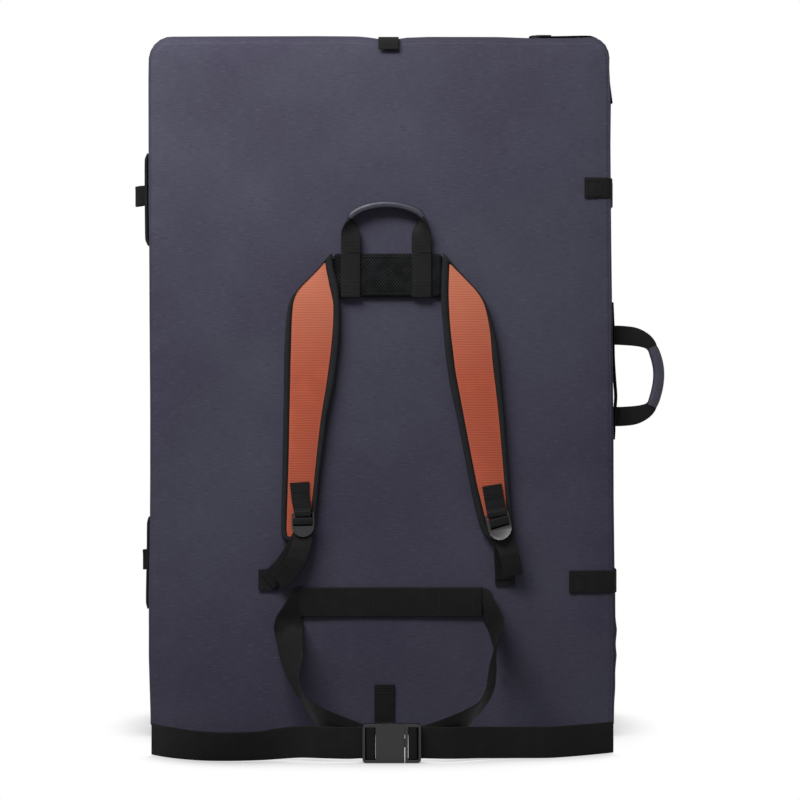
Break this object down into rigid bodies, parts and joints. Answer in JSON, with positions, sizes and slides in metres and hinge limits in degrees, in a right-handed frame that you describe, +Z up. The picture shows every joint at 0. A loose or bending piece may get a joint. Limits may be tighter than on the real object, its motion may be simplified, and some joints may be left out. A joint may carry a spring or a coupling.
{
  "type": "bouldering crash pad",
  "caption": "Folding foam landing pad for bouldering, shut for carrying, with a padded backpack harness, waist belt, webbing closures and grab handles.",
  "frame": {"origin": "middle of the flat strip that the front half stands on, on the floor", "axes": "+Z up the closed pad's long side, +Y from the harness side to the back, +X to the open side with the carrying handle"},
  "size_m": [0.6764, 0.3402, 0.9002],
  "materials": {
    "cover_nylon": "coarse slate weave with short dashes",
    "landing_nylon": "tight black weave",
    "pu_foam": "open-cell foam",
    "pe_foam": "closed-cell foam",
    "black_webbing": "black woven webbing",
    "black_binding": "black grosgrain binding",
    "spacer_mesh": "black spacer mesh",
    "orange_nylon": "ribbed orange nylon",
    "buckle_plastic": "satin dark grey acetal",
    "zip_metal": "dark enamelled"
  },
  "bodies": {
    "front_half": {"front_cover": "cover_nylon", "front_landing_panel": "landing_nylon", "front_base_foam": "pu_foam", "front_top_foam": "pe_foam", "spine_hinge_web": "black_webbing", "upper_spine_strip": "black_webbing", "upper_spine_loop": "black_webbing", "lower_spine_strip": "black_webbing", "lower_spine_loop": "black_webbing", "lower_keeper": "black_webbing", "zip_tape": "black_webbing", "yoke_panel": "spacer_mesh", "yoke_webbing_left": "black_webbing", "yoke_webbing_right": "black_webbing", "side_handle_base": "black_webbing", "belt_sleeve": "black_webbing", "left_adjusting_webbing": "black_webbing", "left_lower_anchor": "black_webbing", "right_adjusting_webbing": "black_webbing", "right_lower_anchor": "black_webbing", "upper_closure_front_strap": "black_webbing", "upper_closure_plug": "buckle_plastic", "lower_closure_front_strap": "black_webbing", "lower_closure_plug": "buckle_plastic", "top_closure_front_strap": "black_webbing", "top_closure_plug": "buckle_plastic"},
    "rear_half": {"rear_cover": "cover_nylon", "rear_landing_panel": "landing_nylon", "rear_base_foam": "pu_foam", "rear_top_foam": "pe_foam", "upper_closure_socket": "buckle_plastic", "upper_closure_rear_strap": "black_webbing", "lower_closure_socket": "buckle_plastic", "lower_closure_rear_strap": "black_webbing", "top_closure_socket": "buckle_plastic", "top_closure_rear_strap": "black_webbing"},
    "slider": {"zip_slider": "zip_metal"},
    "top_handle": {"top_handle_webbing": "black_webbing", "top_handle_grip": "cover_nylon"},
    "side_handle": {"side_handle_webbing": "black_webbing", "side_handle_grip": "cover_nylon"},
    "left_strap": {"left_strap_binding": "black_binding", "left_strap_foam": "spacer_mesh", "left_strap_face": "orange_nylon", "left_strap_tab": "black_webbing"},
    "left_lock": {"left_ladder_lock": "buckle_plastic"},
    "right_strap": {"right_strap_binding": "black_binding", "right_strap_foam": "spacer_mesh", "right_strap_face": "orange_nylon", "right_strap_tab": "black_webbing"},
    "right_lock": {"right_ladder_lock": "buckle_plastic"},
    "belt": {"left_belt_wing": "black_webbing", "left_belt_tail": "black_webbing", "right_belt_wing": "black_webbing", "belt_buckle_socket": "buckle_plastic"},
    "belt_plug": {"belt_buckle_plug": "buckle_plastic", "right_belt_tail": "black_webbing"},
    "upper_arm": {"belt_buckle_plug_upper_arm": "buckle_plastic"},
    "lower_arm": {"belt_buckle_plug_lower_arm": "buckle_plastic"}
  },
  "joints": [
    {"name": "pad_fold", "type": "hinge", "parent": "front_half", "child": "rear_half", "pos_m": [-0.302, 0.0455, 0.445], "axis": [0, 0, 1], "range_deg": [0, 180], "deforming": ["spine_hinge_web", "upper_spine_loop", "lower_spine_loop", "upper_closure_plug", "lower_closure_plug", "top_closure_plug"]},
    {"name": "zip_slider_travel", "type": "slide", "parent": "front_half", "child": "slider", "axis": [1, 0, 0], "range_m": [0, 0.042]},
    {"name": "top_handle_swing", "type": "hinge", "parent": "front_half", "child": "top_handle", "pos_m": [0.006, -0.0534, 0.6203], "axis": [1, 0, 0], "range_deg": [0, 120]},
    {"name": "side_handle_swing", "type": "hinge", "parent": "front_half", "child": "side_handle", "pos_m": [0.29787, -0.015, 0.463], "axis": [0, 0, 1], "range_deg": [-80, 80]},
    {"name": "left_strap_lift", "type": "hinge", "parent": "front_half", "child": "left_strap", "pos_m": [-0.09, -0.0453, 0.619], "axis": [-1, 0, 0], "range_deg": [0, 24], "deforming": ["left_adjusting_webbing"]},
    {"name": "left_lock_tilt", "type": "hinge", "parent": "left_strap", "child": "left_lock", "pos_m": [-0.10165, -0.0633, 0.28741], "axis": [-0.9954, 0, -0.0958], "range_deg": [0, 40], "deforming": ["left_strap_tab", "left_adjusting_webbing"]},
    {"name": "right_strap_lift", "type": "hinge", "parent": "front_half", "child": "right_strap", "pos_m": [0.12, -0.0453, 0.619], "axis": [-1, 0, 0], "range_deg": [0, 24], "deforming": ["right_adjusting_webbing"]},
    {"name": "right_lock_tilt", "type": "hinge", "parent": "right_strap", "child": "right_lock", "pos_m": [0.14678, -0.0633, 0.28742], "axis": [-0.9848, 0, -0.1736], "range_deg": [0, 40], "deforming": ["right_strap_tab", "right_adjusting_webbing"]},
    {"name": "belt_swing", "type": "hinge", "parent": "front_half", "child": "belt", "pos_m": [0.013, -0.0453, 0.1927], "axis": [-1, 0, 0], "range_deg": [0, 45]},
    {"name": "belt_buckle_release", "type": "slide", "parent": "belt", "child": "belt_plug", "axis": [1, 0, 0], "range_m": [0, 0.032], "deforming": ["right_belt_wing", "belt_buckle_plug_upper_arm", "belt_buckle_plug_lower_arm"]},
    {"name": "lower_arm_squeeze", "type": "hinge", "parent": "belt_plug", "child": "lower_arm", "pos_m": [0.02695, -0.1964, 0.0069], "axis": [0, 1, 0], "range_deg": [0, 18], "stiffness_Nm_per_rad": 0.2},
    {"name": "upper_arm_squeeze", "type": "hinge", "parent": "belt_plug", "child": "upper_arm", "pos_m": [0.02695, -0.1964, 0.0403], "axis": [0, -1, 0], "range_deg": [0, 18], "stiffness_Nm_per_rad": 0.2}
  ],
  "couplings": [
    {"joint": "upper_arm_squeeze", "follows": "lower_arm_squeeze", "ratio": 1}
  ]
}
